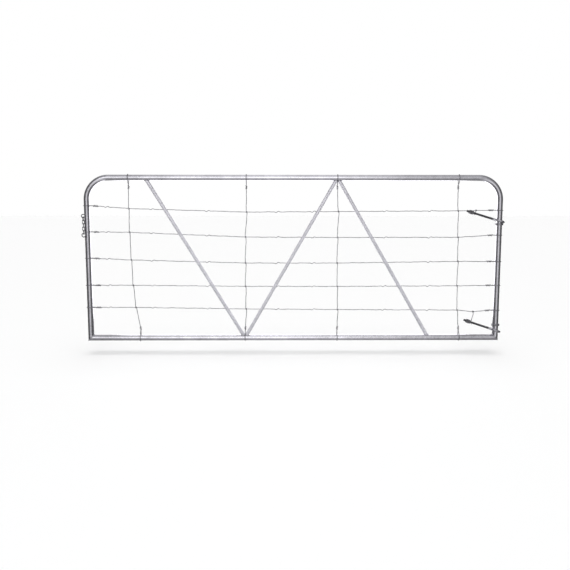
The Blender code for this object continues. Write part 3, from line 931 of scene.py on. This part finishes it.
def swelling(i, count, middle):
    """How far a bar swells near its middle-th part where its ends are welded together, from 0 to 1."""
    share = (i - middle * count) / (SWELLING_HALF * count)
    return cos(pi / 2 * share) ** 2 if abs(share) < 1 else 0.0


def make_staple(metal, weld_metal):
    outwards = Vector((cos(STAPLE_TURN), sin(STAPLE_TURN), 0))
    sideways = outwards.cross(UP)
    axis = Vector((-STILE_X, 0, 0))
    bend = STAPLE_LEG / 2
    centre = axis + outwards * STAPLE_BEND + UP * (STAPLE_LOW_Z + bend)
    turns = [pi * i / STAPLE_STEPS for i in range(STAPLE_STEPS + 1)]
    bent = [centre + bend * cos(t) * UP + bend * sin(t) * outwards for t in turns]
    foot = axis + outwards * (FRAME_RADIUS - STAPLE_SUNK)
    legs = [foot + UP * (STAPLE_LOW_Z + STAPLE_LEG), foot + UP * STAPLE_LOW_Z]
    rod = sweep([legs[0], *bent, legs[1]], STAPLE_RADIUS, STAPLE_SIDES)
    piece("chain_staple_rod", rod, metal, "chain", "leaf", "chain_staple", crease=50)
    fillets = []
    for leg in legs:
        around = []
        for k in range(FILLET_STEPS):
            turn = tau * k / FILLET_STEPS
            off = (STAPLE_RADIUS + SKIN) * (cos(turn) * UP + sin(turn) * sideways)
            sink = FRAME_RADIUS - sqrt(FRAME_RADIUS**2 - off.dot(sideways) ** 2)
            around.append(leg + off + outwards * (TACK_OUT - sink))
        fillets.append(bead(around, STAPLE_BEAD, closed=True))
    piece("staple_welds", joined(*fillets), weld_metal, "chain", "leaf", crease=60)


def link_shape(bar_above):
    """A link in the XZ plane that hangs on a bar of this radius at the origin."""
    middle = bar_above + LINK_GAP - LINK_INSIDE / 2
    bend = LINK_INSIDE_WIDTH / 2 + LINK_BAR
    straight = LINK_INSIDE / 2 - LINK_INSIDE_WIDTH / 2
    path = []
    for end in (1, -1):
        centre = Vector((0, 0, middle + end * straight))
        for i in range(LINK_BEND_STEPS + 1):
            turn = pi * i / LINK_BEND_STEPS
            path.append(centre + end * bend * Vector((cos(turn), 0, sin(turn))))
    line = resampled(path, LINK_STEP, closed=True)
    around = 2 * pi * bend + 4 * straight
    side_middle = pi * bend / around + straight / around

    def radius(i, turn):
        return LINK_BAR * (1 + LINK_SWELLING * swelling(i, len(line), side_middle))

    return sweep(line, radius, LINK_SIDES, closed=True, across=BACK)


def latch_ring_shape(bar_above):
    """The round ring in the XZ plane that hangs on a bar of this radius at the origin."""
    drop = bar_above + LINK_GAP - RING_INSIDE_RADIUS
    size = RING_INSIDE_RADIUS + RING_BAR
    turns = [tau * i / RING_STEPS for i in range(RING_STEPS)]
    path = [Vector((size * cos(turn), 0, drop + size * sin(turn))) for turn in turns]

    def radius(i, turn):
        return RING_BAR * (1 + RING_SWELLING * swelling(i, RING_STEPS, RING_WELD))

    return sweep(path, radius, RING_SIDES, closed=True, across=BACK)


def make_chain(metal):
    pivots = {joint["child"]: Vector(joint["pos_m"]) for joint in frame["joints"]}
    turn, bar_above = STAPLE_TURN, STAPLE_RADIUS
    for number in range(1, LINK_COUNT + 1):
        turn += LINK_TURN
        node = f"chain_link_{number}"
        place = Matrix.Translation(pivots[node]) @ Matrix.Rotation(turn, 4, "Z")
        link = placed(link_shape(bar_above), place)
        piece(node + "_oval", link, metal, "chain", node, node, crease=50)
        bar_above = LINK_BAR
    turn += LINK_TURN
    place = Matrix.Translation(pivots["latch_ring"]) @ Matrix.Rotation(turn, 4, "Z")
    ring = placed(latch_ring_shape(bar_above), place)
    piece("latch_ring_round", ring, metal, "chain", "latch_ring", "latch_ring", crease=50)


# ---------------------------------------------------------------- stage


def make_floor():
    level = cad_box[0][2] - GROUND_CLEARANCE
    corners = [(x * FLOOR_SIZE, y * FLOOR_SIZE, level) for x, y in ((-1, -1), (1, -1), (1, 1), (-1, 1))]
    mesh = bpy.data.meshes.new("floor")
    mesh.from_pydata(corners, [], [(0, 1, 2, 3)])
    mesh.materials.append(floor_material())
    floor = shown("floor", mesh)
    floor.visible_glossy = False


def make_world():
    """Bright straight ahead and behind, dim towards the sides and below, as between two soft screens."""
    world = bpy.data.worlds.new("studio")
    bpy.context.scene.world = world
    world.use_nodes = True
    tree = world.node_tree
    tree.nodes.clear()
    direction = tree.nodes.new("ShaderNodeTexCoord").outputs["Generated"]
    parts = tree.nodes.new("ShaderNodeSeparateXYZ")
    tree.links.new(direction, parts.inputs["Vector"])
    aside = tree.nodes.new("ShaderNodeMath")
    aside.operation = "ABSOLUTE"
    tree.links.new(parts.outputs["X"], aside.inputs[0])
    across = ramp(tree, aside.outputs["Value"], SCREEN_ACROSS)
    height = tree.nodes.new("ShaderNodeMapRange")
    height.inputs["From Min"].default_value = -1.0
    tree.links.new(parts.outputs["Z"], height.inputs["Value"])
    upright = ramp(tree, height.outputs["Result"], SCREEN_UPRIGHT)
    screens = mixed(tree, 1.0, across, upright, "MULTIPLY")
    # White to the camera, so that the backdrop is plain
    seen = add_node(tree, "ShaderNodeBackground", Color=(1, 1, 1, 1), Strength=1.0)
    lit = add_node(tree, "ShaderNodeBackground", Strength=1.0)
    tree.links.new(screens, lit.inputs["Color"])
    either = tree.nodes.new("ShaderNodeMixShader")
    tree.links.new(tree.nodes.new("ShaderNodeLightPath").outputs["Is Camera Ray"], either.inputs["Fac"])
    tree.links.new(lit.outputs["Background"], either.inputs[1])
    tree.links.new(seen.outputs["Background"], either.inputs[2])
    output = tree.nodes.new("ShaderNodeOutputWorld")
    tree.links.new(either.outputs["Shader"], output.inputs["Surface"])


def make_screen(name, place, size, power):
    """A soft screen of light. It lights only the metal, so that the floor stays evenly pale."""
    light = bpy.data.lights.new(name, "AREA")
    light.shape = "RECTANGLE"
    light.size, light.size_y = size
    light.energy = power
    screen = shown(name, light)
    screen.location = place
    screen.visible_diffuse = False
    return screen


def make_lights():
    sun = bpy.data.lights.new("overhead", "SUN")
    sun.energy = SUN_STRENGTH
    sun.angle = radians(70)
    overhead = shown("overhead", sun)
    overhead.rotation_euler = (radians(8), radians(4), 0)
    overhead.visible_glossy = False

    front = make_screen("front_screen", *FRONT_SCREEN)
    front.rotation_euler = (LEAF_MIDDLE - front.location).to_track_quat("-Z", "Y").to_euler()

    # Stands just behind the leaf and shows on the sides of the stiles that face inwards
    back = make_screen("back_screen", *BACK_SCREEN)
    back.rotation_euler = (-pi / 2, 0, 0)
    back.visible_camera = False


def make_camera():
    data = bpy.data.cameras.new("camera")
    data.sensor_width = SENSOR
    data.lens = FOCAL_LENGTH
    camera = shown("camera", data)
    turn = Matrix.Rotation(CAMERA_YAW, 4, "Z") @ Matrix.Rotation(CAMERA_PITCH, 4, "X")
    turn = turn @ Matrix.Rotation(CAMERA_ROLL, 4, "Z")
    camera.matrix_world = Matrix.Translation(CAMERA_PLACE) @ turn
    bpy.context.scene.camera = camera
    bpy.context.scene.view_settings.view_transform = "Standard"


def main():
    # Greys of the bright and the dull zinc, range of roughness, size of the crystals, scale of the clouds,
    # depth of the grain
    tube = galvanised("galvanised_tube", (0.90, 0.76), (0.13, 0.26), 0.011)
    brace_metal = galvanised("galvanised_brace", (0.88, 0.80), (0.36, 0.50), 0.009, metallic=0.35)
    wire = galvanised("galvanised_wire", (0.54, 0.34), (0.36, 0.52), 0.004, 30.0)
    bolt = galvanised("zinc_bolt", (0.80, 0.62), (0.34, 0.50), 0.004, 40.0, 0.5)
    thread = galvanised("zinc_thread", (0.28, 0.17), (0.45, 0.62), 0.004, 40.0, 0.5)
    nut = galvanised("zinc_nut", (0.44, 0.28), (0.38, 0.58), 0.004, 50.0, 0.5, worn=True)
    chain = galvanised("zinc_chain", (0.40, 0.25), (0.36, 0.58), 0.003, 60.0, 0.5)
    weld = galvanised("weld_metal", (0.66, 0.50), (0.36, 0.55), 0.003, 60.0, 0.6)

    make_floor()
    make_world()
    make_lights()
    make_camera()
    make_frame_tube(tube)
    make_bottom_rail(tube)
    make_corner_welds(weld)
    make_braces(brace_metal, weld)
    for number, heights in enumerate(LINE_HEIGHTS, 1):
        make_line_wire(number, heights, wire)
    for number, places in enumerate(STAY_PLACES, 1):
        make_stay_wire(number, places, wire)
    make_tie_wire("upper_tie_wire", 1, "upper", wire)
    make_tie_wire("lower_tie_wire", len(LINE_HEIGHTS), "lower", wire)
    make_eye_bolt("upper", bolt, thread, nut)
    make_eye_bolt("lower", bolt, thread, nut)
    make_collar("upper_stop_collar", nut, weld)
    make_collar("lower_stop_collar", nut, weld)
    make_staple(chain, weld)
    make_chain(chain)


main()
